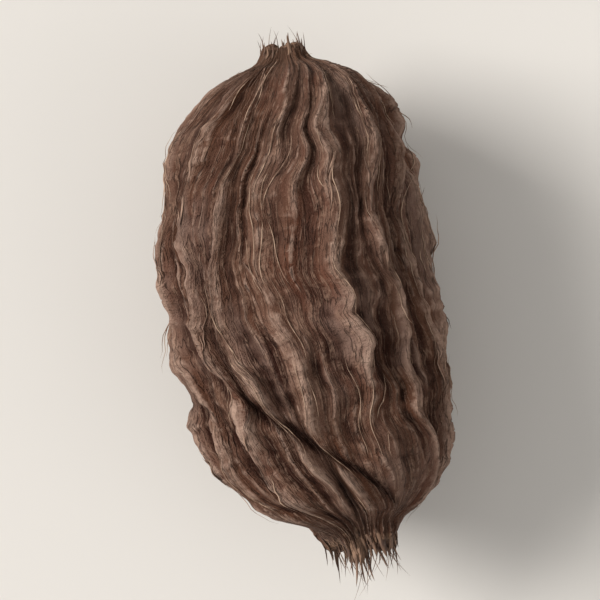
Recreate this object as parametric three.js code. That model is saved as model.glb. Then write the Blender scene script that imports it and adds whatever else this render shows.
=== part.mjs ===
// A dried black cardamom pod, lying on its side as it would on a table.
// It is one dried fruit. The husk is leathery and fibrous, and shrank over the seeds as it dried, so that it
// is drawn into wavy lengthwise ribs. The broken stalk is at one end, and the withered flower, the beak, at
// the other. Millimetres. +X runs from the stalk to the beak and +Z is up. The origin is on the table, under
// the middle of the pod.

import * as THREE from "three";
import { mergeVertices } from "three/addons/utils/BufferGeometryUtils.js";

const { lerp, smoothstep } = THREE.MathUtils;
const TURN = 2 * Math.PI;

// Driving dimensions
const POD_LENGTH = 33;
const HUSK_RADIUS = 7.75; // at its widest, measured in the furrows between ribs
const WIDEST = 0.45; // share of the length, counted from the stalk
const STALK_RADIUS = 1.3;
const STALK_LENGTH = 0.9;
const BEAK_RADIUS = 1.7;
const BEAK_LENGTH = 1.3;
const BEAK_CUP = 0.8; // depth of the hollow in the beak's end
const BEAK_LEAN = 0.9; // how far the beak swings back to +Y
const BOW = 0.9; // how far the middle bows sideways, towards -Y
const SAG = 0.4; // how far the middle lies below the two ends
const RIB_COUNT = 15;
const RIB_HEIGHT = 1.3;
const RIB_LIMIT = 1.45; // no crest stands higher than this, and the tall ones round off toward it
const RIB_WIDTH = 0.18; // of a crest, as a share of the rib spacing
const RIB_SWAY = 0.2; // how far a rib wanders, as a share of the rib spacing
const RIB_BOW = 0.65; // how far the ribs bow around the pod in its middle, towards -Y, in radians
const BOW_SKEW = 0.8; // below 1, that bow is widest a little nearer to the stalk
const RIB_SWELL = 0.25; // how much a crest's height comes and goes along it
const RIB_GAIN = 0.2; // how much higher the ribs stand in the beak's half, and lower in the stalk's
const ROUND_SHARE = 0.35; // of a rib's height that is a round swell, with a narrow fold on top of it
const ROUND_REACH = 0.6; // of the round swell, as a share of the rib spacing
const MINOR_HEIGHT = 0.55; // of the low ribs that lie in the furrows
const MINOR_WIDTH = 0.13;
const MINOR_REACH = 0.3; // how far a low rib runs each way, as a share of the outline
const REST_DEPTH = 0.5; // how much of the lowest ribs the flat rest takes off
const ROLL = 0.292; // turns the ribs about the length until those below carry the pod evenly, in radians

// Slow waves over the husk: how high, how many around, how many radians along, and the phase. The first is
// the three seed chambers, and the rest are dents and swellings.
const HUSK_WAVES = [
  { height: 0.26, around: 3, along: 0, phase: 2.7 },
  { height: 0.2, around: 2, along: 9, phase: 4.7 },
  { height: 0.16, around: 4, along: -11, phase: 5.4 },
  { height: 0.12, around: 7, along: 17, phase: 4.7 },
];

// Waves that make the ribs' spacing uneven, in radians
const SPACING_WAVES = [
  { height: 0.05, around: 3, along: 0, phase: 3.1 },
  { height: 0.035, around: 5, along: 3, phase: 0.1 },
];

// The beak is pinched flat and fluted, and its lip is torn. The stalk is fluted too, and its broken face is
// splintered.
const BEAK_FLUTES = [
  { height: 0.22 * BEAK_RADIUS, around: 2, along: 0, phase: -1 },
  { height: 0.16 * BEAK_RADIUS, around: 5, along: 0, phase: 2 },
];
const BEAK_TEARS = [{ height: 0.3, around: 3, along: 0, phase: 1 }];
const STALK_FLUTES = [{ height: 0.08, around: 6, along: 0, phase: 1 }];
const STALK_SPLINTERS = [{ height: 0.15, around: 2, along: 0, phase: 3 }];

// Crumples, where the husk folded across its length and the ribs step sideways. Each has its middle, along
// the outline and around the pod, how it slants, its reach around, its half width along the pod, its depth,
// and the angle that the ribs step by. The first two are the oblique ones on the upper side.
const CRUMPLES = [
  { along: 0.745, around: 1.7, slant: -0.15, reach: 0.95, halfWidth: 0.024, depth: 0.55, step: -0.12 },
  { along: 0.87, around: 2.2, slant: -0.06, reach: 0.8, halfWidth: 0.018, depth: 0.3, step: -0.06 },
  { along: 0.27, around: 6, slant: 0.04, reach: 0.7, halfWidth: 0.02, depth: 0.3, step: 0.08 },
  { along: 0.6, around: 3.9, slant: -0.06, reach: 0.8, halfWidth: 0.022, depth: 0.45, step: -0.1 },
];
const VALLEY_FLATTENS = 0.7; // how much of a rib's height goes, for each millimetre of a crumple's depth
const LIPS_RAISE = 0.5; // how much it gains on the crumple's two lips

// Mesh density
const COLUMNS_PER_RIB = 8;
const COLUMNS = COLUMNS_PER_RIB * RIB_COUNT;
const ROWS = 50;

// A repeatable draw between low and high. Each n gives its own value.
function draw(n, low, high) {
  const wave = Math.sin(n * 12.9898) * 43758.5453;
  return lerp(low, high, wave - Math.floor(wave));
}

const bell = (x, width) => Math.exp(-((x / width) ** 2));

const sumOfWaves = (waves, along, angle) =>
  waves.reduce((sum, w) => sum + w.height * Math.cos(w.around * angle + w.along * along + w.phase), 0);

// The outline that the husk would have with no ribs: distance along the pod, then radius. It starts in the
// middle of the stalk's broken face and ends at the bottom of the beak's cup. Between them the husk is a
// superellipse on each side of its widest place.
const widest = POD_LENGTH * WIDEST;
const huskSide = (end, power) => (share) =>
  [lerp(widest, end, share), HUSK_RADIUS * (1 - share ** power) ** (1 / power)];
const towardStalk = huskSide(STALK_LENGTH, 2.4);
const towardBeak = huskSide(POD_LENGTH - BEAK_LENGTH, 2.75);
const outline = new THREE.CatmullRomCurve3(
  [
    [0.25, 0],
    [0, 0.6 * STALK_RADIUS],
    [0.2, 0.95 * STALK_RADIUS],
    [STALK_LENGTH, 1.25 * STALK_RADIUS],
    ...[0.965, 0.88, 0.72, 0.5, 0.25].map(towardStalk),
    [widest, HUSK_RADIUS],
    ...[0.25, 0.48, 0.68, 0.83, 0.93].map(towardBeak),
    [POD_LENGTH - 1.1 * BEAK_LENGTH, 1.5 * BEAK_RADIUS],
    [POD_LENGTH - 0.5 * BEAK_LENGTH, 1.1 * BEAK_RADIUS],
    [POD_LENGTH - 0.1, 0.95 * BEAK_RADIUS],
    [POD_LENGTH - 0.05, 0.7 * BEAK_RADIUS],
    [POD_LENGTH - 0.75 * BEAK_CUP, 0.3 * BEAK_RADIUS],
    [POD_LENGTH - BEAK_CUP, 0],
  ].map(([x, radius]) => new THREE.Vector3(x, radius, 0)),
  false,
  "centripetal",
);
outline.arcLengthDivisions = 2000;

// Ribs. Each rises near the stalk, sinks near the beak and swells and wanders on its way. One in six starts
// late and one in six stops early, as a rib does that runs out into its neighbour. A low rib lies in the
// furrow beside each.
const ribs = Array.from({ length: RIB_COUNT }, (_, k) => ({
  height: RIB_HEIGHT * draw(k + 142, 0.6, 1.25),
  from: k % 6 === 3 ? draw(k + 165, 0.24, 0.34) : draw(k + 165, 0.08, 0.12),
  to: k % 6 === 1 ? draw(k + 195, 0.64, 0.76) : draw(k + 195, 0.88, 0.93),
  sway: RIB_SWAY * draw(k + 225, 0.4, 1),
  swayWaves: draw(k + 255, 1.6, 3.8),
  swayPhase: draw(k + 285, 0, TURN),
  swellWaves: draw(k + 315, 3, 7),
  swellPhase: draw(k + 345, 0, TURN),
  minorHeight: MINOR_HEIGHT * draw(k + 375, 0.35, 1),
  minorAt: draw(k + 405, 0.25, 0.75),
}));

const sway = (rib, along) => rib.sway * Math.sin(TURN * rib.swayWaves * along + rib.swayPhase);

// How high a rib's crest stands, and the shape of its sides: a round swell with a narrower fold on top.
function crest(rib, along) {
  const rise = smoothstep(along, rib.from - 0.06, rib.from + 0.12);
  const sink = 1 - smoothstep(along, rib.to - 0.12, rib.to + 0.05);
  const swell = 1 + RIB_SWELL * Math.sin(TURN * rib.swellWaves * along + rib.swellPhase);
  const gain = 1 + RIB_GAIN * lerp(-1, 1, smoothstep(along, 0.3, 0.7));
  return rib.height * rise * sink * swell * gain;
}

function sides(part) {
  const round = Math.cos((TURN / 4) * Math.min(part / ROUND_REACH, 1)) ** 2;
  return lerp(bell(part, RIB_WIDTH), round, ROUND_SHARE);
}

// What the crumples do at a place: how deep the valley is, how high the ribs are bunched up on its two lips,
// and how far the ribs have stepped around.
function crumpleAt(along, angle) {
  let valley = 0;
  let lips = 0;
  let step = 0;
  for (const crumple of CRUMPLES) {
    const off = Math.atan2(Math.sin(angle - crumple.around), Math.cos(angle - crumple.around));
    const across = (along - crumple.along - crumple.slant * off) / crumple.halfWidth;
    const present = Math.exp(-((off / crumple.reach) ** 4));
    valley += crumple.depth * present * bell(across, 1);
    lips += crumple.depth * present * bell(Math.abs(across) - 2, 0.9);
    step += crumple.step * present * smoothstep(across, -1, 1) * (1 - smoothstep(along, 0.86, 1));
  }
  return { valley, lips, step };
}

// A point of the husk's skin. along runs from 0 at the stalk to 1 at the beak, and ribNumber from 0 to
// RIB_COUNT around the pod: it is whole on a crest, so that the mesh's columns follow the ribs wherever they
// wander.
function skin(along, ribNumber) {
  const { x, y: radius } = outline.getPointAt(along);
  const before = ribs[Math.floor(ribNumber) % RIB_COUNT];
  const after = ribs[(Math.floor(ribNumber) + 1) % RIB_COUNT];
  const part = ribNumber % 1;

  const turn = (TURN * ribNumber) / RIB_COUNT;
  const wander = (TURN / RIB_COUNT) * lerp(sway(before, along), sway(after, along), smoothstep(part, 0, 1));
  const bowed = RIB_BOW * Math.sin(Math.PI * along ** BOW_SKEW);
  const unfolded = turn + ROLL + wander + sumOfWaves(SPACING_WAVES, along, turn) + bowed;
  const { valley, lips, step } = crumpleAt(along, unfolded);
  const angle = unfolded + step;

  const onHusk = smoothstep(along, 0.05, 0.2) * (1 - smoothstep(along, 0.8, 0.95));
  const low = before.minorHeight * bell(along - before.minorAt, MINOR_REACH);
  const minor = onHusk * low * bell(part - 0.5, MINOR_WIDTH);
  const drawnUp = crest(before, along) * sides(part) + crest(after, along) * sides(1 - part);
  const ridge = RIB_LIMIT * Math.tanh(drawnUp / RIB_LIMIT) + minor;

  const onBeak = smoothstep(along, 0.9, 0.94) * smoothstep(radius, 0, BEAK_RADIUS / 2);
  const onStalk = (1 - smoothstep(along, 0.03, 0.07)) * smoothstep(radius, 0, STALK_RADIUS / 2);
  const onLip = onBeak * smoothstep(along, 0.93, 0.97);
  const flutes =
    onBeak * sumOfWaves(BEAK_FLUTES, along, angle) + onStalk * sumOfWaves(STALK_FLUTES, along, angle);
  const torn =
    onLip * sumOfWaves(BEAK_TEARS, along, angle) + onStalk * sumOfWaves(STALK_SPLINTERS, along, angle);

  const height =
    radius +
    onHusk * (sumOfWaves(HUSK_WAVES, along, angle) - valley) +
    ridge * (1 - VALLEY_FLATTENS * valley + LIPS_RAISE * lips) +
    flutes;
  const bend = Math.sin(Math.PI * (x / POD_LENGTH));
  const lean = BEAK_LEAN * smoothstep(x, 0.72 * POD_LENGTH, 1.08 * POD_LENGTH);
  return new THREE.Vector3(
    x + torn,
    height * Math.cos(angle) - BOW * bend + lean,
    height * Math.sin(angle) - SAG * bend,
  );
}

// The husk: a sphere's grid of rows and columns, laid over the skin.
function huskGeometry() {
  const grid = new THREE.SphereGeometry(1, COLUMNS, ROWS);
  const place = grid.getAttribute("position");
  const share = grid.getAttribute("uv");
  for (let i = 0; i < place.count; i++) {
    const column = (Math.round(share.getX(i) * COLUMNS) + COLUMNS) % COLUMNS;
    const { x, y, z } = skin(share.getY(i), column / COLUMNS_PER_RIB);
    place.setXYZ(i, x, y, z);
  }
  grid.deleteAttribute("uv");
  grid.deleteAttribute("normal");

  // The rest: what is below the table's level is pressed flat. Then the footprint is centred on the origin.
  grid.computeBoundingBox();
  const { min, max } = grid.boundingBox;
  const table = min.z + REST_DEPTH;
  for (let i = 0; i < place.count; i++) place.setZ(i, Math.max(place.getZ(i), table));
  grid.translate(-(min.x + max.x) / 2, -(min.y + max.y) / 2, -table);

  const closed = mergeVertices(grid);
  closed.computeVertexNormals();
  return closed;
}

const huskMaterial = new THREE.MeshStandardMaterial({ color: 0x5f463a, roughness: 0.75, metalness: 0 });
const husk = new THREE.Mesh(huskGeometry(), huskMaterial);
husk.name = "pod";

const pod = new THREE.Group();
pod.add(husk);

export default pod;
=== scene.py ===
import math

import bmesh
import bpy
import numpy as np
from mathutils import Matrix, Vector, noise


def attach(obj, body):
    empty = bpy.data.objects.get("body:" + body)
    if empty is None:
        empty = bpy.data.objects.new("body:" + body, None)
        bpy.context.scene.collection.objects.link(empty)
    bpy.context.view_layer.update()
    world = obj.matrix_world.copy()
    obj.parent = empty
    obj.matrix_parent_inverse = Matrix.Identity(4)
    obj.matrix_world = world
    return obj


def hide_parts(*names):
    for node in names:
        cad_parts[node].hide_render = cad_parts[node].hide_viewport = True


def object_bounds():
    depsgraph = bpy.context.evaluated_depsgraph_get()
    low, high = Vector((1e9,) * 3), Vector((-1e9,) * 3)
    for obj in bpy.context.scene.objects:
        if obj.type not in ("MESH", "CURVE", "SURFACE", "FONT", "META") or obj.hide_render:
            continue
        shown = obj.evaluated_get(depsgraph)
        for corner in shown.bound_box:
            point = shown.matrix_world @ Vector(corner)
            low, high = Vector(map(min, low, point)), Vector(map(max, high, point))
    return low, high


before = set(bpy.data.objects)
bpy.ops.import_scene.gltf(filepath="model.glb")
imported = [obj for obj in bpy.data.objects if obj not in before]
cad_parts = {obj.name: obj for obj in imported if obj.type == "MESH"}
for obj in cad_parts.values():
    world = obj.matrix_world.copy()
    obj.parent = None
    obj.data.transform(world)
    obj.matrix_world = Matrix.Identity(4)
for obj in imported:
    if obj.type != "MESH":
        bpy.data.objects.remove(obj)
cad_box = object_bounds()


# The husk: the leathery skin of one dried fruit, with the broken stalk and the withered flower, the beak,
# grown in one piece with it. It shrank over the seeds as it dried and stood up in wavy lengthwise ribs, and
# finer folds, fibres and cross wrinkles cover it between them.

MM = 0.001
TURN = 2 * math.pi

# The construction's own values, with lengths in millimetres and angles in radians
POD_LENGTH = 33.0
HUSK_RADIUS = 7.75
WIDEST = 0.45
STALK_RADIUS = 1.3
STALK_LENGTH = 0.9
BEAK_RADIUS = 1.7
BEAK_LENGTH = 1.3
BEAK_CUP = 0.8
BEAK_LEAN = 0.9
BOW = 0.9
SAG = 0.4
RIB_COUNT = 15
RIB_HEIGHT = 1.3
RIB_LIMIT = 1.45
RIB_WIDTH = 0.18
RIB_SWAY = 0.2
RIB_BOW = 0.65
BOW_SKEW = 0.8
RIB_SWELL = 0.25
RIB_GAIN = 0.2
ROUND_SHARE = 0.35
ROUND_REACH = 0.6
MINOR_HEIGHT = 0.55
MINOR_WIDTH = 0.13
MINOR_REACH = 0.3
REST_DEPTH = 0.5
ROLL = 0.292

# Slow waves over the husk, in the ribs' spacing and on the two ends, as in the construction: height, how many
# around, radians along, and phase
HUSK_WAVES = [(0.26, 3, 0, 2.7), (0.2, 2, 9, 4.7), (0.16, 4, -11, 5.4), (0.12, 7, 17, 4.7)]
SPACING_WAVES = [(0.05, 3, 0, 3.1), (0.035, 5, 3, 0.1)]
BEAK_FLUTES = [(0.22 * BEAK_RADIUS, 2, 0, -1), (0.16 * BEAK_RADIUS, 5, 0, 2)]
BEAK_TEARS = [(0.3, 3, 0, 1)]
STALK_FLUTES = [(0.08, 6, 0, 1)]
STALK_SPLINTERS = [(0.15, 2, 0, 3)]

# The crumples, where the husk folded across its length: each one's middle along and around, slant, reach
# around, half width along, depth, and the angle that the ribs step by
CRUMPLES = [
    (0.745, 1.7, -0.15, 0.95, 0.024, 0.55, -0.12),
    (0.87, 2.2, -0.06, 0.8, 0.018, 0.3, -0.06),
    (0.27, 6, 0.04, 0.7, 0.02, 0.3, 0.08),
    (0.6, 3.9, -0.06, 0.8, 0.022, 0.45, -0.1),
]
VALLEY_FLATTENS = 0.7
LIPS_RAISE = 0.5


def draw(n, low, high):
    """A repeatable draw between low and high. Each n gives its own value."""
    wave = np.sin(n * 12.9898) * 43758.5453
    return low + (high - low) * (wave - np.floor(wave))


def smoothstep(x, low, high):
    part = np.clip((x - low) / (high - low), 0, 1)
    return part * part * (3 - 2 * part)


def bell(x, width):
    return np.exp(-((x / width) ** 2))


def sum_of_waves(waves, along, angle):
    total = 0
    for height, around, turns, phase in waves:
        total = total + height * np.cos(around * angle + turns * along + phase)
    return total


def side_of_husk(end, power):
    """The husk's plain outline from its widest place to one end: a quarter of a superellipse."""
    middle = POD_LENGTH * WIDEST
    return lambda share: (middle + (end - middle) * share, HUSK_RADIUS * (1 - share**power) ** (1 / power))


CURVE_SAMPLES = 2001


def smooth_curve(points):
    """A centripetal Catmull-Rom curve through the points, as a function of the share of its length."""
    points = np.array(points, float)
    ends = np.vstack([2 * points[0] - points[1], points, 2 * points[-1] - points[-2]])
    gap = np.linalg.norm(np.diff(ends, axis=0), axis=1) ** 0.5

    def at(place):
        i = np.minimum(place.astype(int), len(points) - 2)
        t = (place - i)[..., None]
        before, first, last, after = ends[i], ends[i + 1], ends[i + 2], ends[i + 3]
        gap_before, gap_here, gap_after = gap[i][..., None], gap[i + 1][..., None], gap[i + 2][..., None]
        leaving = (first - before) / gap_before - (last - before) / (gap_before + gap_here)
        leaving = gap_here * leaving + (last - first)
        arriving = (after - last) / gap_after - (after - first) / (gap_here + gap_after)
        arriving = gap_here * arriving + (last - first)
        bend = 3 * (last - first) - 2 * leaving - arriving
        return first + leaving * t + bend * t**2 + (2 * (first - last) + leaving + arriving) * t**3

    places = np.linspace(0, len(points) - 1, CURVE_SAMPLES)
    lengths = np.cumsum(np.r_[0, np.linalg.norm(np.diff(at(places), axis=0), axis=1)])
    return lambda share: at(np.interp(share * lengths[-1], lengths, places))


# The outline from pole to pole: along the pod, and out from its middle line
toward_stalk = side_of_husk(STALK_LENGTH, power=2.4)
toward_beak = side_of_husk(POD_LENGTH - BEAK_LENGTH, power=2.75)
outline = smooth_curve(
    [
        (0.25, 0),
        (0, 0.6 * STALK_RADIUS),
        (0.2, 0.95 * STALK_RADIUS),
        (STALK_LENGTH, 1.25 * STALK_RADIUS),
        *[toward_stalk(share) for share in (0.965, 0.88, 0.72, 0.5, 0.25)],
        (POD_LENGTH * WIDEST, HUSK_RADIUS),
        *[toward_beak(share) for share in (0.25, 0.48, 0.68, 0.83, 0.93)],
        (POD_LENGTH - 1.1 * BEAK_LENGTH, 1.5 * BEAK_RADIUS),
        (POD_LENGTH - 0.5 * BEAK_LENGTH, 1.1 * BEAK_RADIUS),
        (POD_LENGTH - 0.1, 0.95 * BEAK_RADIUS),
        (POD_LENGTH - 0.05, 0.7 * BEAK_RADIUS),
        (POD_LENGTH - 0.75 * BEAK_CUP, 0.3 * BEAK_RADIUS),
        (POD_LENGTH - BEAK_CUP, 0),
    ]
)

# Each rib's height, where it rises and sinks, how it wanders and swells, and the low rib in the furrow after
# it. Every sixth rib starts late, and every sixth stops early.
k = np.arange(RIB_COUNT)
rib_height = RIB_HEIGHT * draw(k + 142, 0.6, 1.25)
rib_from = np.where(k % 6 == 3, draw(k + 165, 0.24, 0.34), draw(k + 165, 0.08, 0.12))
rib_to = np.where(k % 6 == 1, draw(k + 195, 0.64, 0.76), draw(k + 195, 0.88, 0.93))
sway_size = RIB_SWAY * draw(k + 225, 0.4, 1)
sway_waves = draw(k + 255, 1.6, 3.8)
sway_phase = draw(k + 285, 0, TURN)
swell_waves = draw(k + 315, 3, 7)
swell_phase = draw(k + 345, 0, TURN)
minor_height = MINOR_HEIGHT * draw(k + 375, 0.35, 1)
minor_at = draw(k + 405, 0.25, 0.75)


def sway(rib, along):
    return sway_size[rib] * np.sin(TURN * sway_waves[rib] * along + sway_phase[rib])


def crest(rib, along):
    """How high a rib's crest stands, with a smooth rise where it starts and a smooth fall where it stops."""
    rise = smoothstep(along, rib_from[rib] - 0.06, rib_from[rib] + 0.12)
    sink = 1 - smoothstep(along, rib_to[rib] - 0.12, rib_to[rib] + 0.05)
    swell = 1 + RIB_SWELL * np.sin(TURN * swell_waves[rib] * along + swell_phase[rib])
    gain = 1 + RIB_GAIN * (2 * smoothstep(along, 0.3, 0.7) - 1)
    return rib_height[rib] * rise * sink * swell * gain


def sides(part, width):
    """The shape of a rib's sides: a round swell with a narrower fold on top."""
    rounded = np.cos(TURN / 4 * np.minimum(part / ROUND_REACH, 1)) ** 2
    return ROUND_SHARE * rounded + (1 - ROUND_SHARE) * bell(part, width)


def crumple_at(along, angle):
    """How deep a crumple's valley is, how high the ribs are bunched on its lips, and how far they step."""
    valley = lips = step = 0
    for middle, around, slant, reach, half_width, depth, turned in CRUMPLES:
        off = np.arctan2(np.sin(angle - around), np.cos(angle - around))
        across = (along - middle - slant * off) / half_width
        present = np.exp(-((off / reach) ** 4))
        valley = valley + depth * present * bell(across, 1)
        lips = lips + depth * present * bell(np.abs(across) - 2, 0.9)
        step = step + turned * present * smoothstep(across, -1, 1) * (1 - smoothstep(along, 0.86, 1))
    return valley, lips, step


# Noise is looked up on a cylinder whose surface is the unrolled husk, so many units around and along. So it
# closes all round, and stretching it along the cylinder makes it run with the ribs.
GRAIN_AROUND = 20
GRAIN_ALONG = 13
NOISE_GAIN = 1.4
SEED_STEP = 17.3

# The fine relief's patterns in that grain: waves to a unit around and lengthwise, and a seed
WANDERING = (0.5, 1.3, 1)
KNOBS = (0.6, 2, 2)
PATCHES = (0.35, 0.5, 3)
SWELLINGS = (0.9, 0.8, 4)
FOLDS = (1.4, 0.22, 5)
FIBRES = (3.2, 0.4, 6)
CROSS_WRINKLES = (0.8, 2.8, 7)
THREADS = (5, 1.2, 8)
LEANING = (0.3, 0.6, 9)
SMALL_KNOBS = (1.2, 5, 10)
PIMPLES = (2.6, 4, 11)
GRIT = (6, 7, 12)
LIP_KNOBS = (1.3, 2.2, 13)
LONG_TEARS = (0.7, 0.3, 14)
SHORT_TEARS = (1.8, 0.5, 15)

# Zones of the skin, from 0 at the stalk's pole to 1 at the beak's. The first three give where a zone starts,
# is full, fades and ends, and the others only where it starts and is full, or fades and ends.
HUSK_ZONE = (0.05, 0.2, 0.8, 0.95)
ROPY_ZONE = (0.42, 0.62, 0.84, 0.93)
FINE_ZONE = (0.02, 0.08, 0.95, 1)
BEAK_STARTS = (0.9, 0.94)
LIP_STARTS = (0.93, 0.97)
STALK_ENDS = (0.03, 0.07)

# Heights in millimetres. Of a pair, the first value holds outside a zone and the second inside it: the husk's
# zone for the folds and fibres, and the patches for the cross wrinkles.
FOLD_HEIGHT = (0.2, 0.3)
FIBRE_HEIGHT = (0.29, 0.17)
CROSS_HEIGHT = (0.03, 0.15)
SWELLING_HEIGHT = 0.2
THREAD_HEIGHT = 0.06
PIMPLE_HEIGHT = 0.09
GRIT_HEIGHT = 0.05
LIP_KNOB_HEIGHT = 0.3

# How far the beak's edge is torn along the pod, in millimetres
LONG_TEAR = 0.35
SHORT_TEAR = 0.25

# Shares of the height of the rib that they change, and of a pair outside and inside the ropy zone
KNOB_SHARE = (0.25, 0.4)
SMALL_KNOB_SHARE = (0.07, 0.15)
ROPY_GAIN = 0.1
ROPY_MINOR_LOSS = 0.4
LEAN_SHARE = 0.4

# Shares of the rib spacing, of the construction's rib width, and of the beak's tears
WANDER_SHARE = 0.13
WIDTH_SHARE = 0.85
STALK_TEAR_SHARE = 0.6


def mixed(pair, share):
    """The first value where the share is 0 and the second where it is 1."""
    return pair[0] + (pair[1] - pair[0]) * share


def in_zone(along, zone):
    start, full, fade, end = zone
    return smoothstep(along, start, full) * (1 - smoothstep(along, fade, end))


def grain_at(along, rib_number):
    angle = TURN * rib_number / RIB_COUNT
    ring = GRAIN_AROUND / TURN
    place = ring * np.cos(angle), ring * np.sin(angle), GRAIN_ALONG * along
    return np.stack(np.broadcast_arrays(*place), -1)


def ripple(grain, pattern):
    """Smooth noise from about -1 to 1."""
    around, lengthwise, seed = pattern
    points = grain * (around, around, lengthwise) + seed * SEED_STEP
    values = [noise.noise(point) for point in points.reshape(-1, 3)]
    return NOISE_GAIN * np.array(values).reshape(points.shape[:-1])


def thin_ridges(grain, pattern, sharpness):
    """Ridges from 0 to 1 that branch and run together."""
    return (1 - np.minimum(np.abs(ripple(grain, pattern)), 1)) ** sharpness


def fine_relief(grain, along, on_husk, lips):
    """The folds, fibres, wrinkles, lumps and grit that lie over the ribs, in millimetres."""
    patches = smoothstep(ripple(grain, PATCHES), -0.3, 0.6)
    lengthwise = mixed(FOLD_HEIGHT, on_husk) * thin_ridges(grain, FOLDS, sharpness=5)
    lengthwise = lengthwise + mixed(FIBRE_HEIGHT, on_husk) * thin_ridges(grain, FIBRES, sharpness=4)
    lengthwise = lengthwise + THREAD_HEIGHT * ripple(grain, THREADS) + GRIT_HEIGHT * ripple(grain, GRIT)
    crosswise = mixed(CROSS_HEIGHT, patches) * thin_ridges(grain, CROSS_WRINKLES, sharpness=2)
    lumps = SWELLING_HEIGHT * ripple(grain, SWELLINGS) + PIMPLE_HEIGHT * ripple(grain, PIMPLES)
    bunched = LIP_KNOB_HEIGHT * lips * np.maximum(ripple(grain, LIP_KNOBS), 0)
    return lengthwise * in_zone(along, FINE_ZONE) + (crosswise + lumps) * on_husk + bunched


def skin(along, rib_number, detail, raised=0):
    """The husk's skin in millimetres, before it is set on the table, and how high its relief stands."""
    outline_point = outline(along)
    x, radius = outline_point[..., 0], outline_point[..., 1]
    before = np.floor(rib_number).astype(int) % RIB_COUNT
    after = (before + 1) % RIB_COUNT
    part = rib_number % 1
    grain = grain_at(along, rib_number)
    on_husk = in_zone(along, HUSK_ZONE)

    turn = TURN * rib_number / RIB_COUNT
    wander = mixed((sway(before, along), sway(after, along)), smoothstep(part, 0, 1))
    if detail:
        wander = wander + WANDER_SHARE * on_husk * ripple(grain, WANDERING)
    bowed = RIB_BOW * np.sin(math.pi * along**BOW_SKEW)
    unfolded = turn + ROLL + TURN / RIB_COUNT * wander + sum_of_waves(SPACING_WAVES, along, turn) + bowed
    valley, lips, step = crumple_at(along, unfolded)
    angle = unfolded + step
    width = RIB_WIDTH * (WIDTH_SHARE if detail else 1)
    ridge = crest(before, along) * sides(part, width) + crest(after, along) * sides(1 - part, width)
    low = minor_height[before] * bell(along - minor_at[before], MINOR_REACH)
    minor = on_husk * low * bell(part - 0.5, MINOR_WIDTH)

    fine = 0
    if detail:
        ropy = in_zone(along, ROPY_ZONE)
        knobs = mixed(KNOB_SHARE, ropy) * ripple(grain, KNOBS)
        knobs = knobs + mixed(SMALL_KNOB_SHARE, ropy) * ripple(grain, SMALL_KNOBS)
        ridge = ridge * (1 + ROPY_GAIN * ropy + knobs)
        minor = minor * (1 - ROPY_MINOR_LOSS * ropy)
        angle = angle + LEAN_SHARE * ripple(grain, LEANING) * ridge / HUSK_RADIUS
        fine = fine_relief(grain, along, on_husk, lips)

    on_beak = smoothstep(along, *BEAK_STARTS) * smoothstep(radius, 0, BEAK_RADIUS / 2)
    on_stalk = (1 - smoothstep(along, *STALK_ENDS)) * smoothstep(radius, 0, STALK_RADIUS / 2)
    on_lip = on_beak * smoothstep(along, *LIP_STARTS)
    flutes = on_beak * sum_of_waves(BEAK_FLUTES, along, angle)
    flutes = flutes + on_stalk * sum_of_waves(STALK_FLUTES, along, angle)
    torn = on_lip * sum_of_waves(BEAK_TEARS, along, angle)
    torn = torn + on_stalk * sum_of_waves(STALK_SPLINTERS, along, angle)
    if detail:
        ragged = LONG_TEAR * ripple(grain, LONG_TEARS) + SHORT_TEAR * ripple(grain, SHORT_TEARS)
        torn = torn + (on_lip + STALK_TEAR_SHARE * on_stalk) * ragged

    ridge = RIB_LIMIT * np.tanh(ridge / RIB_LIMIT)
    relief = (ridge + minor) * (1 - VALLEY_FLATTENS * valley + LIPS_RAISE * lips) - on_husk * valley + fine
    height = radius + on_husk * sum_of_waves(HUSK_WAVES, along, angle) + relief + flutes + raised
    bend = np.sin(math.pi * x / POD_LENGTH)
    lean = BEAK_LEAN * smoothstep(x, 0.72 * POD_LENGTH, 1.08 * POD_LENGTH)
    place = x + torn, height * np.cos(angle) - BOW * bend + lean, height * np.sin(angle) - SAG * bend
    return np.stack(np.broadcast_arrays(*place), -1), relief


# A sphere's rows and columns are laid over the skin. Its top pole is the stalk end.
ROWS = 240
COLUMNS = 398
row_share = np.arange(ROWS + 1)[:, None] / ROWS
column_rib = np.arange(COLUMNS)[None, :] / COLUMNS * RIB_COUNT

plain_place, _ = skin(row_share, column_rib, detail=False)
lowest, highest = plain_place.min((0, 1)), plain_place.max((0, 1))
table = lowest[2] + REST_DEPTH
on_table = np.array([(lowest[0] + highest[0]) / 2, (lowest[1] + highest[1]) / 2, table])


def set_down(place):
    """Moves the pod's points on to the table, with their lowest part pressed flat, and to metres."""
    moved = place - on_table
    moved[..., 2] = np.maximum(moved[..., 2], 0)
    return moved * MM


def evened(grid, times):
    """The grid with each value drawn towards its neighbours, so many times."""
    for _ in range(times):
        beside = np.roll(grid, 1, 1) + np.roll(grid, -1, 1)
        above_and_below = np.vstack([grid[:1], grid[:-1]]) + np.vstack([grid[1:], grid[-1:]])
        grid = (grid + beside + above_and_below) / 5
    return grid


# The finish reads at each point how far it stands above the husk around it, how sharp an edge it is on, how
# far along the skin it is, and its place in the grain.
WIDE_AVERAGE = 90
CLOSE_AVERAGE = 5
husk_place, husk_relief = skin(row_share, column_rib, detail=True)
husk_place = set_down(husk_place)
rise = husk_relief - evened(husk_relief, WIDE_AVERAGE)
edge = husk_relief - evened(husk_relief, CLOSE_AVERAGE)
grain = grain_at(row_share, column_rib)

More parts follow.
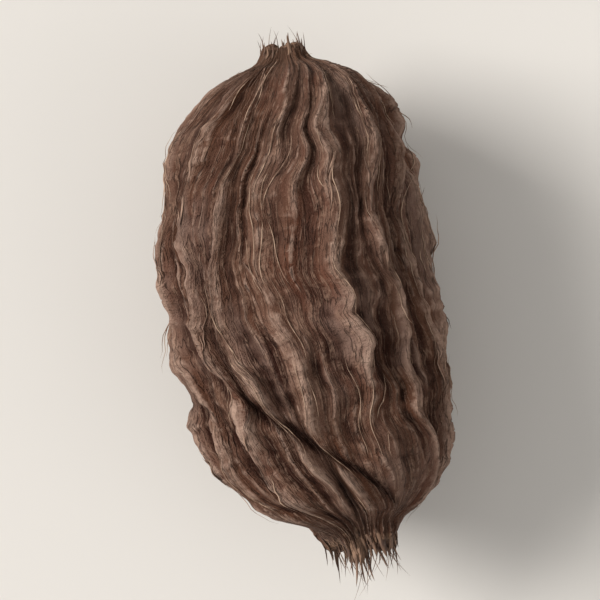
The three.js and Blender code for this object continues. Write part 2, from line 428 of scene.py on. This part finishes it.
husk_bmesh = bmesh.new()
bmesh.ops.create_uvsphere(husk_bmesh, u_segments=COLUMNS, v_segments=ROWS, radius=1)
layers = husk_bmesh.verts.layers
rise_layer, edge_layer, along_layer = (layers.float.new(name) for name in ("rise", "edge", "along"))
grain_layer = layers.float_vector.new("grain")
for vert in husk_bmesh.verts:
    x, y, z = vert.co
    row = round(math.acos(max(-1, min(1, z))) / math.pi * ROWS)
    column = round(math.atan2(y, x) / TURN * COLUMNS) % COLUMNS
    vert.co = husk_place[row, column]
    vert[rise_layer] = rise[row, column]
    vert[edge_layer] = edge[row, column]
    vert[along_layer] = row / ROWS
    vert[grain_layer] = grain[row, column]
bmesh.ops.recalc_face_normals(husk_bmesh, faces=husk_bmesh.faces)
for face in husk_bmesh.faces:
    face.smooth = True
husk_mesh = bpy.data.meshes.new("husk")
husk_bmesh.to_mesh(husk_mesh)
husk_bmesh.free()
husk = bpy.data.objects.new("husk", husk_mesh)
bpy.context.collection.objects.link(husk)


class Wire:
    """A socket of a material. Its operators add Math nodes, and node() adds any other."""

    def __init__(self, tree, socket=None):
        self.tree = tree
        self.socket = socket

    def node(self, kind, settings=None, sockets=None, output=0):
        made = self.tree.nodes.new(kind)
        for name, value in (settings or {}).items():
            setattr(made, name, value)
        for name, value in (sockets or {}).items():
            if isinstance(value, Wire):
                self.tree.links.new(value.socket, made.inputs[name])
            else:
                made.inputs[name].default_value = value
        return Wire(self.tree, made.outputs[output])

    def calculated(self, operation, first, second=0.0):
        return self.node("ShaderNodeMath", {"operation": operation}, {0: first, 1: second})

    def __add__(self, other):
        return self.calculated("ADD", self, other)

    def __radd__(self, other):
        return self.calculated("ADD", other, self)

    def __sub__(self, other):
        return self.calculated("SUBTRACT", self, other)

    def __rsub__(self, other):
        return self.calculated("SUBTRACT", other, self)

    def __mul__(self, other):
        return self.calculated("MULTIPLY", self, other)

    def __rmul__(self, other):
        return self.calculated("MULTIPLY", other, self)

    def __abs__(self):
        return self.calculated("ABSOLUTE", self)

    def between(self, low, high):
        """0 at low, 1 at high and smooth between."""
        sockets = {"Value": self, "From Min": low, "From Max": high}
        return self.node("ShaderNodeMapRange", {"interpolation_type": "SMOOTHSTEP"}, sockets)

    def colour(self, first, second):
        """The first colour where this is 0 and the second where it is 1."""
        return self.node("ShaderNodeMix", {"data_type": "RGBA"}, {0: self, 6: first, 7: second}, output=2)


def shade(*screen):
    """A colour that is given as it looks on a screen: red, green and blue from 0 to 255."""
    return *(((c / 255 + 0.055) / 1.055) ** 2.4 if c > 10 else c / 255 / 12.92 for c in screen), 1


BUMP_DEPTH = 0.5 * MM


def husk_finish():
    material = bpy.data.materials.new("dried husk")
    material.use_nodes = True
    tree = Wire(material.node_tree)
    grain = tree.node("ShaderNodeAttribute", {"attribute_name": "grain"}, output="Vector")
    rise = tree.node("ShaderNodeAttribute", {"attribute_name": "rise"}, output="Fac")
    edge = tree.node("ShaderNodeAttribute", {"attribute_name": "edge"}, output="Fac")
    along = tree.node("ShaderNodeAttribute", {"attribute_name": "along"}, output="Fac")
    place = tree.node("ShaderNodeTexCoord", output="Object")

    def mottle(around, lengthwise, detail=4, roughness=0.55):
        """Noise in the grain, with so many waves to a unit of it around and lengthwise."""
        stretch = {"Vector": grain, "Scale": (around, around, lengthwise)}
        stretched = tree.node("ShaderNodeMapping", sockets=stretch)
        sockets = {"Vector": stretched, "Scale": 1.0, "Detail": detail, "Roughness": roughness}
        return tree.node("ShaderNodeTexNoise", sockets=sockets)

    def lines(around, lengthwise, spread):
        """Thin lines that branch and run together, 1 in their middle and 0 between them."""
        return 1 - abs(mottle(around, lengthwise, 3) - 0.5).between(0, spread)

    broad = mottle(0.35, 0.3)
    ruddy = mottle(1.3, 0.5, 3)
    dust = mottle(0.75, 0.35, 4, 0.65)
    streaks = mottle(4.5, 0.35)
    threads = mottle(11, 0.8, 4, 0.65)
    specks = mottle(9, 9, 4, 0.6)
    fibres = lines(5.5, 0.5, 0.05)
    cracks = lines(4.2, 0.7, 0.025)
    grit = mottle(22, 22, 3, 0.6)
    bundles = tree.node("ShaderNodeTexNoise", sockets={"Vector": place, "Scale": 4500.0, "Detail": 2.0})

    # In the beak's half the furrows are painted darker and the crests and knobs paler, so the ribs look
    # bolder there.
    bold = along.between(0.4, 0.65)
    # Painted shade over the furrows' own darker brown: the skin is coloured darker the lower it lies below
    # the husk around it.
    furrow_colour_and_shade = (0 - rise).between(0.0, 0.32) * (1.0 + 0.25 * bold - 0.5 * streaks)
    # Paler where the skin stands above the husk around it: partly the worn crests' own paler colour, partly a
    # painted highlight.
    crest_wear_and_highlight = rise.between(0.07, 0.42) * specks.between(0.25, 0.65)
    # A painted highlight on the tops of the highest knobs.
    painted_knob_highlight = rise.between(0.35, 0.75) * streaks.between(0.3, 0.6)
    # Paler on sharp edges: partly the dry, papery edges' own colour, partly a painted highlight.
    edge_wear_and_highlight = edge.between(0.01, 0.09) * threads.between(0.35, 0.62)
    near_stalk = 1 - along.between(0.02, 0.11)
    broken_face = (1 - along.between(0.026, 0.034)) * bundles.between(0.4, 0.55)
    in_pith = 1 - along.between(0.008, 0.014)
    on_lip = along.between(0.935, 0.95) * (1 - along.between(0.955, 0.97)) * specks.between(0.3, 0.6)

    # The colours over the skin's dark and pale streaks, its painted shade in the furrows and its painted
    # highlights on crests, knobs and edges, from the lowest up: where, how strong, and which
    coats = [
        (broad.between(0.35, 0.7), 0.6, shade(90, 56, 38)),
        (ruddy.between(0.5, 0.68), 0.5, shade(88, 50, 35)),
        (dust.between(0.48, 0.68), 0.5, shade(134, 111, 100)),
        (furrow_colour_and_shade, 1.0, shade(44, 18, 7)),
        (crest_wear_and_highlight, 0.58 + 0.27 * bold, shade(150, 123, 108)),
        (painted_knob_highlight, 0.3 + 0.3 * bold, shade(166, 140, 124)),
        (edge_wear_and_highlight, 0.55, shade(170, 143, 127)),
        (fibres * specks.between(0.35, 0.6), 0.5, shade(146, 117, 99)),
        (cracks * threads.between(0.4, 0.6), 0.7, shade(34, 18, 11)),
        (grit.between(0.55, 0.75), 0.35, shade(128, 98, 82)),
        (near_stalk, 0.5, shade(128, 96, 76)),
        (broken_face, 1.0, shade(180, 140, 114)),
        (in_pith, 0.7, shade(70, 47, 32)),
        (on_lip, 0.6, shade(140, 112, 90)),
    ]
    body = streaks.between(0.3, 0.7).colour(shade(76, 49, 36), shade(106, 79, 66))
    for where, strength, colour in coats:
        body = (where * strength).colour(body, colour)

    dullness = 0.58 + 0.3 * specks
    raised = threads * 0.5 + specks * 0.4 + grit * 0.3 + fibres * 0.12 - cracks * 0.15
    raised = raised + broken_face * 0.4
    bumps = {"Height": raised, "Strength": 1.0, "Distance": BUMP_DEPTH}
    bumped = tree.node("ShaderNodeBump", sockets=bumps)

    shader = material.node_tree.nodes["Principled BSDF"]
    for name, wire in (("Base Color", body), ("Roughness", dullness), ("Normal", bumped)):
        material.node_tree.links.new(wire.socket, shader.inputs[name])
    shader.inputs["Specular IOR Level"].default_value = 0.15
    return material


husk_mesh.materials.append(husk_finish())
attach(husk, "root")
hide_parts("pod")


# The loose fibres and flakes: the husk's own stiff strands, which split off its ribs as it dried, and thin
# curled flakes of its outer skin. Both are still grown on at one end. Each is one sphere drawn out along a
# path, flattened where it is a flake.

STRAND_SIDES = 5
STRAND_RINGS = 13
STRAND_ROUND = 0.6  # the power that rounds a strand's two ends
STRAND_TAPER = 0.5  # how much thinner a strand is at its far end
PATH_POINTS = 14

# Widths, thicknesses and heights in millimetres, and places and lengths as shares of the husk's outline
FIBRES_LAID = {"first_draw": 1000, "count": 170, "lengths": (0.04, 0.17), "lift": 0.7}
FIBRE_WIDTHS = (0.05, 0.12)
FLAKES_LAID = {"first_draw": 2000, "count": 46, "lengths": (0.03, 0.08), "lift": 0.35}
FLAKE_WIDTHS = (0.2, 0.42)
FLAKE_THICKNESS = 0.05
OFF_SKIN = 0.02
PROBE = 0.2  # how much higher a second path runs, which shows the way out
PATHS_START = (0.09, 0.85)
PATHS_STAY = (0.05, 0.94)
OFF_CREST = (-0.2, 0.2)  # in rib spacings, as the next
STRAYING = (-0.25, 0.25)


def lay_strand(mesh, path, width, thickness, out):
    """A tapered strand along a path, in metres, with its thickness in the direction out."""
    made = bmesh.ops.create_uvsphere(mesh, u_segments=STRAND_SIDES, v_segments=STRAND_RINGS, radius=1)
    tangent = np.gradient(path, axis=0)
    tangent /= np.linalg.norm(tangent, axis=1)[:, None]
    across = np.cross(tangent, out)
    across /= np.linalg.norm(across, axis=1)[:, None]
    guides = np.hstack([path, across, np.cross(across, tangent)])
    shares = np.linspace(0, 1, len(path))
    for vert in made["verts"]:
        x, y, z = vert.co
        share = math.acos(max(-1, min(1, z))) / math.pi
        here = np.array([np.interp(share, shares, guide) for guide in guides.T])
        middle, wide_way, thin_way = np.split(here, 3)
        round_off = math.sin(math.pi * share) ** STRAND_ROUND * (1 - STRAND_TAPER * share)
        ring = math.atan2(y, x)
        offset = width / 2 * math.cos(ring) * wide_way + thickness / 2 * math.sin(ring) * thin_way
        vert.co = middle + round_off * offset
        vert.co.z = max(vert.co.z, 0)


def strand_piece(name, finish, strands):
    """One piece of many strands, each given by its path, its width and thickness and the way out."""
    mesh = bmesh.new()
    for path, width, thickness, out in strands:
        lay_strand(mesh, path, width * MM, thickness * MM, out)
    bmesh.ops.recalc_face_normals(mesh, faces=mesh.faces)
    for face in mesh.faces:
        face.smooth = True
    data = bpy.data.meshes.new(name)
    mesh.to_mesh(data)
    mesh.free()
    data.materials.append(finish)
    piece = bpy.data.objects.new(name, data)
    bpy.context.collection.objects.link(piece)
    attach(piece, "root")


def strand_finish(name, dark, pale):
    material = bpy.data.materials.new(name)
    material.use_nodes = True
    tree = Wire(material.node_tree)
    place = tree.node("ShaderNodeTexCoord", output="Object")
    stretched = tree.node("ShaderNodeMapping", sockets={"Vector": place, "Scale": (500, 2500, 2500)})
    blotches = tree.node("ShaderNodeTexNoise", sockets={"Vector": stretched, "Scale": 1.0, "Detail": 3.0})
    shader = material.node_tree.nodes["Principled BSDF"]
    colour = blotches.between(0.35, 0.65).colour(dark, pale)
    material.node_tree.links.new(colour.socket, shader.inputs["Base Color"])
    material.node_tree.links.new((0.55 + 0.3 * blotches).socket, shader.inputs["Roughness"])
    return material


def laid_paths(first_draw, count, lengths, lift):
    """Paths along the ribs' crests that lift off the husk toward one end, in metres, with the way out."""
    n = np.arange(count)[:, None] + first_draw
    share = np.linspace(0, 1, PATH_POINTS)[None, :]
    rib = np.floor(draw(n, 0, RIB_COUNT)) + draw(n + 0.3, *OFF_CREST) + share * draw(n + 0.4, *STRAYING)
    heading = np.where(draw(n + 0.5, 0, 1) < 0.5, -1, 1)
    along = draw(n + 0.1, *PATHS_START) + share * draw(n + 0.2, *lengths) * heading
    along = np.clip(along, *PATHS_STAY)
    height = OFF_SKIN + lift * draw(n + 0.6, 0, 1) * share**3
    place, _ = skin(along, rib % RIB_COUNT, True, height)
    above, _ = skin(along, rib % RIB_COUNT, True, height + PROBE)
    return zip(set_down(place), above - place)


def laid_strands(laid, widths, thickness=None):
    """Strands on such paths, each as thick as it is wide where no thickness is given."""
    for i, (path, out) in enumerate(laid_paths(**laid)):
        width = draw(i + 0.7, *widths)
        yield path, width, thickness or width, out


fibre_finish = strand_finish("dry fibre", shade(104, 76, 58), shade(172, 144, 122))
strand_piece("loose_fibres", fibre_finish, laid_strands(FIBRES_LAID, FIBRE_WIDTHS))
flake_finish = strand_finish("curled outer skin", shade(86, 60, 46), shade(150, 120, 101))
strand_piece("skin_flakes", flake_finish, laid_strands(FLAKES_LAID, FLAKE_WIDTHS, FLAKE_THICKNESS))


# The torn ends: strips and hairs of the withered flower that stand at the beak's lip, and short splinters of
# the fibre bundles where the stalk broke off. They are part of the skin: each follows it to its torn edge and
# stands on past it.

# Each row is a group of strands: first draw, count, where along the skin they start and where its edge is,
# how far they stand past it in millimetres, how they flare and curl, and their narrowest and widest
BEAK_STRANDS = [
    (3000, 40, 0.912, 0.954, 0.8, 0.3, 0.15, 0.35, 0.8),
    (3100, 44, 0.915, 0.956, 1.2, 0.4, 0.25, 0.15, 0.35),
    (3200, 30, 0.99, 0.972, 1.5, 0.2, 0.2, 0.1, 0.35),
    (3300, 24, 0.93, 0.956, 2.0, 0.4, 0.5, 0.05, 0.09),
]
STALK_STRANDS = [
    (4000, 24, 0.06, 0.036, 0.6, 0.4, 0.2, 0.12, 0.3),
    (4100, 20, 0.05, 0.03, 0.9, 0.4, 0.4, 0.05, 0.1),
]
TORN_THICKNESSES = (0.05, 0.09)
FOOT_POINTS = PATH_POINTS // 2
FOOT_SUNK = 0.22  # how far below the skin a strand starts, in millimetres
FOOT_RISES = 0.3  # how far it has risen by the torn edge, in millimetres
FOOT_STRAYING = (-0.5, 0.5)  # in rib spacings
LEAST_REACH = 0.3  # as a share of the group's reach


def end_paths(first_draw, count, foot_at, edge_at, reach, flare, curl):
    """Paths that follow the skin to one end's edge and stand on past it, in metres, with the way out."""
    n = np.arange(count)[:, None] + first_draw
    share = np.linspace(0, 1, FOOT_POINTS)[None, :]
    rib = draw(n, 0, RIB_COUNT) + draw(n + 0.6, *FOOT_STRAYING) * share
    foot, _ = skin(mixed((foot_at, edge_at), share), rib % RIB_COUNT, True, FOOT_RISES * share - FOOT_SUNK)
    pole = float(foot_at > 0.5)
    middle = skin(np.full((1, 1), pole), np.zeros((1, 1)), False)[0][0, 0]
    radial = (foot[:, -1] - middle) * (0, 1, 1)
    radial /= np.linalg.norm(radial, axis=1)[:, None]
    heading = foot[:, -1] - foot[:, -2]
    heading /= np.linalg.norm(heading, axis=1)[:, None]
    heading = 0.5 * heading + (2 * pole - 1, 0, 0) + flare * draw(n + 0.3, -0.5, 1) * radial
    length = reach * draw(n + 0.2, 0, 1) ** 1.5 + LEAST_REACH * reach
    past = np.linspace(0, 1, PATH_POINTS + 1 - FOOT_POINTS)[None, 1:]
    # Each strand curls its own way.
    turned = np.stack([0 * n[:, 0], np.sin(7 * n[:, 0]), np.cos(9 * n[:, 0])], -1)
    beyond = (length * past)[..., None] * heading[:, None, :]
    beyond = beyond + (curl * length * past**2)[..., None] * turned[:, None, :]
    path = np.concatenate([foot, foot[:, -1:, :] + beyond], 1)
    return zip(set_down(path), np.broadcast_to(radial[:, None, :], path.shape))


def torn_strands(groups):
    for *group, narrowest, widest in groups:
        for i, (path, out) in enumerate(end_paths(*group)):
            width = draw(i + 0.8, narrowest, widest)
            yield path, width, min(width, draw(i + 0.9, *TORN_THICKNESSES)), out


torn_finish = strand_finish("torn shreds", shade(70, 46, 33), shade(128, 99, 78))
strand_piece("beak_shreds", torn_finish, torn_strands(BEAK_STRANDS))
strand_piece("stalk_splinters", torn_finish, torn_strands(STALK_STRANDS))


# The floor: a plain pale sheet that the pod lies on. It is round, and sweeps up at its rim into a low wall,
# so that no edge of it shows from any side.

FLOOR_RADIUS = 0.9
SWEEP_RADIUS = 0.5
SWEEP_STEPS = 12
SPIN_STEPS = 96

floor_bmesh = bmesh.new()
rim = [floor_bmesh.verts.new((0, 0, 0))]
for step in range(SWEEP_STEPS + 1):
    up = TURN / 4 * step / SWEEP_STEPS
    reach = FLOOR_RADIUS + SWEEP_RADIUS * math.sin(up)
    rim.append(floor_bmesh.verts.new((reach, 0, SWEEP_RADIUS * (1 - math.cos(up)))))
profile = [floor_bmesh.edges.new(pair) for pair in zip(rim, rim[1:])]
spin = {"cent": (0, 0, 0), "axis": (0, 0, 1), "angle": TURN, "steps": SPIN_STEPS}
bmesh.ops.spin(floor_bmesh, geom=rim + profile, use_merge=True, **spin)
bmesh.ops.remove_doubles(floor_bmesh, verts=floor_bmesh.verts, dist=MM)
for face in floor_bmesh.faces:
    face.smooth = True
floor_mesh = bpy.data.meshes.new("floor")
floor_bmesh.to_mesh(floor_mesh)
floor_bmesh.free()
floor = bpy.data.objects.new("floor", floor_mesh)
bpy.context.collection.objects.link(floor)
floor_material = bpy.data.materials.new("pale floor")
floor_material.use_nodes = True
floor_shader = floor_material.node_tree.nodes["Principled BSDF"]
floor_shader.inputs["Base Color"].default_value = shade(214, 211, 206)
floor_shader.inputs["Roughness"].default_value = 0.9
floor_mesh.materials.append(floor_material)


# The studio: a large soft light from the picture's upper left, a weak one from the right, and an even pale
# surround. The camera looks straight down on the pod, stalk end up, and is turned so that the pod leans.

PICTURE_LEAN = math.radians(8)
PICTURE_HEIGHT = 40 * MM
LENS = 400
SURROUND_COLOUR = (1.0, 0.985, 0.97, 1)
SURROUND_STRENGTH = 0.48

cad_middle = (cad_box[0] + cad_box[1]) / 2


def soft_light(name, place, size, power, colour):
    light = bpy.data.lights.new(name, "AREA")
    light.size = size
    light.energy = power
    light.color = colour
    lamp = bpy.data.objects.new(name, light)
    lamp.location = place
    toward_pod = cad_middle - lamp.location
    lamp.rotation_euler = toward_pod.to_track_quat("-Z", "Y").to_euler()
    bpy.context.collection.objects.link(lamp)


soft_light("key light", place=(-0.9, -2.1, 1.6), size=1.4, power=100, colour=(1.0, 0.97, 0.94))
soft_light("fill light", place=(1.25, 2.0, 1.5), size=2.0, power=11, colour=(1.0, 0.98, 0.96))

world = bpy.data.worlds.new("surround")
world.use_nodes = True
world.node_tree.nodes["Background"].inputs["Color"].default_value = SURROUND_COLOUR
world.node_tree.nodes["Background"].inputs["Strength"].default_value = SURROUND_STRENGTH
bpy.context.scene.world = world
bpy.context.scene.view_settings.view_transform = "Standard"

camera_data = bpy.data.cameras.new("camera")
camera_data.lens = LENS
camera_data.clip_start = 0.05
camera = bpy.data.objects.new("camera", camera_data)
camera.location = (0, 0, PICTURE_HEIGHT * camera_data.lens / camera_data.sensor_width)
camera.rotation_euler = (0, 0, TURN / 4 - PICTURE_LEAN)
bpy.context.collection.objects.link(camera)
bpy.context.scene.camera = camera
